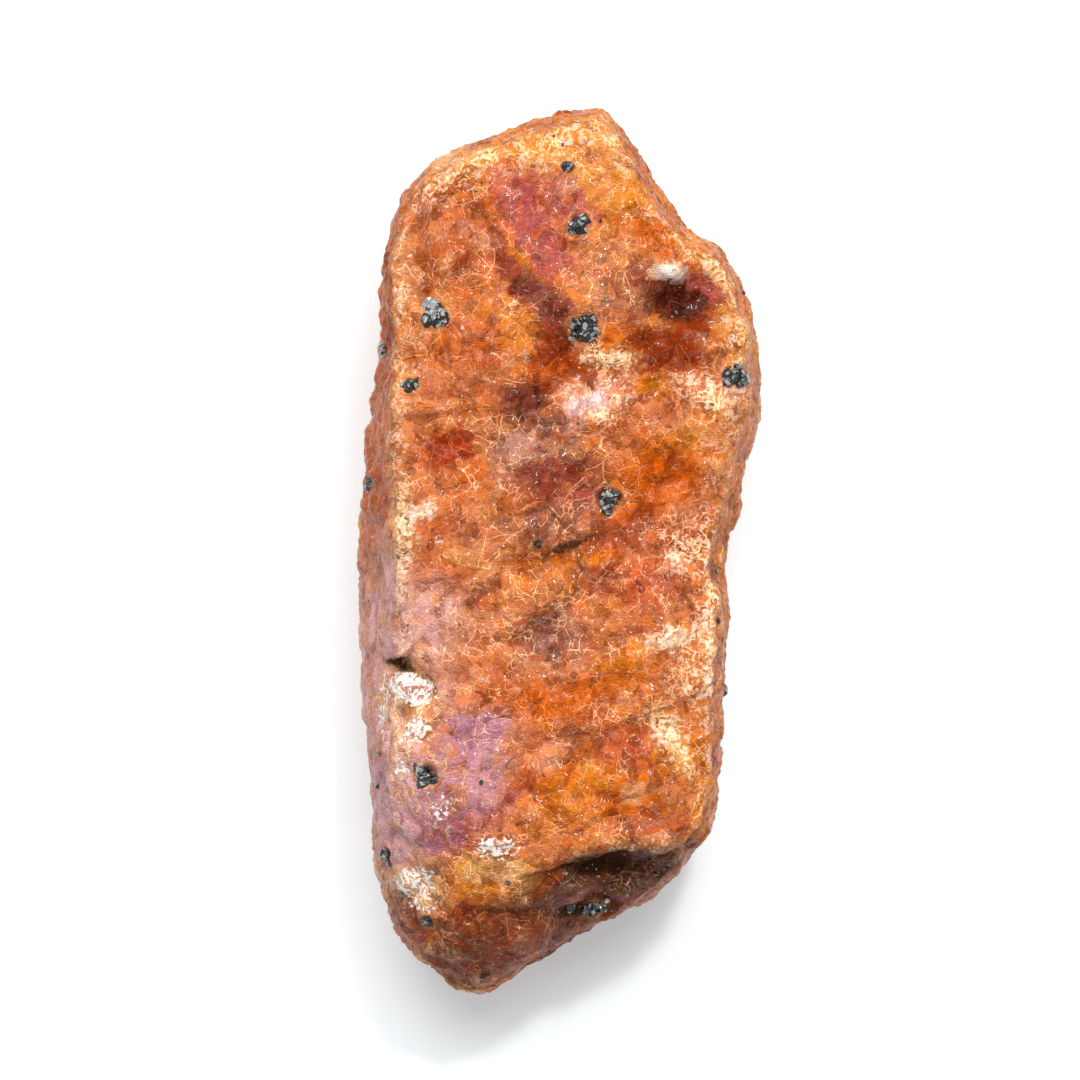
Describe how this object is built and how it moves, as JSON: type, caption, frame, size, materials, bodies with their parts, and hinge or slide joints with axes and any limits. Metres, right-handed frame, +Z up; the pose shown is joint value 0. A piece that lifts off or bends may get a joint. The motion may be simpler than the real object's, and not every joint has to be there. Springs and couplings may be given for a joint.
{
  "type": "rough ruby",
  "caption": "Long worn rough ruby crystal, orange and amber with rose and mauve zones, pale crusts and black mineral grains, lying on its back on a small flat spot.",
  "frame": {"origin": "on the surface that the stone rests on, under the middle of its box", "axes": "+Y along the stone's long way towards its blunt end, +X towards its shoulder, +Z up out of its broad face"},
  "size_m": [0.0228, 0.05, 0.0165],
  "materials": {
    "corundum": "gloss"
  },
  "bodies": {
    "root": {"rough_ruby": "corundum"}
  },
  "joints": []
}
